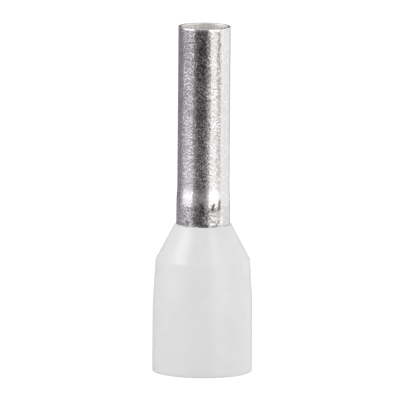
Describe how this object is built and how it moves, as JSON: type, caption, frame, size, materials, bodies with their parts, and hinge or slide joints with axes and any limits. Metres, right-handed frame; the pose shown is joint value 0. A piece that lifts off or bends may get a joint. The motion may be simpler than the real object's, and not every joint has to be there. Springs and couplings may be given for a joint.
{
  "type": "wire ferrule",
  "caption": "Insulated crimp ferrule for stranded wire: a thin tin-plated copper sleeve with a moulded plastic entry collar.",
  "frame": {"origin": "middle of the collar's open end, in the plane that the ferrule stands on", "axes": "+Z along the ferrule's axis, from the collar's open end to the sleeve's tip; X and Y are any two square directions across it, as the part is round"},
  "size_m": [0.004, 0.004, 0.014],
  "materials": {
    "tinned_copper": "satin",
    "collar_plastic": "satin"
  },
  "bodies": {
    "root": {"metal_sleeve": "tinned_copper", "plastic_collar": "collar_plastic"}
  },
  "joints": []
}
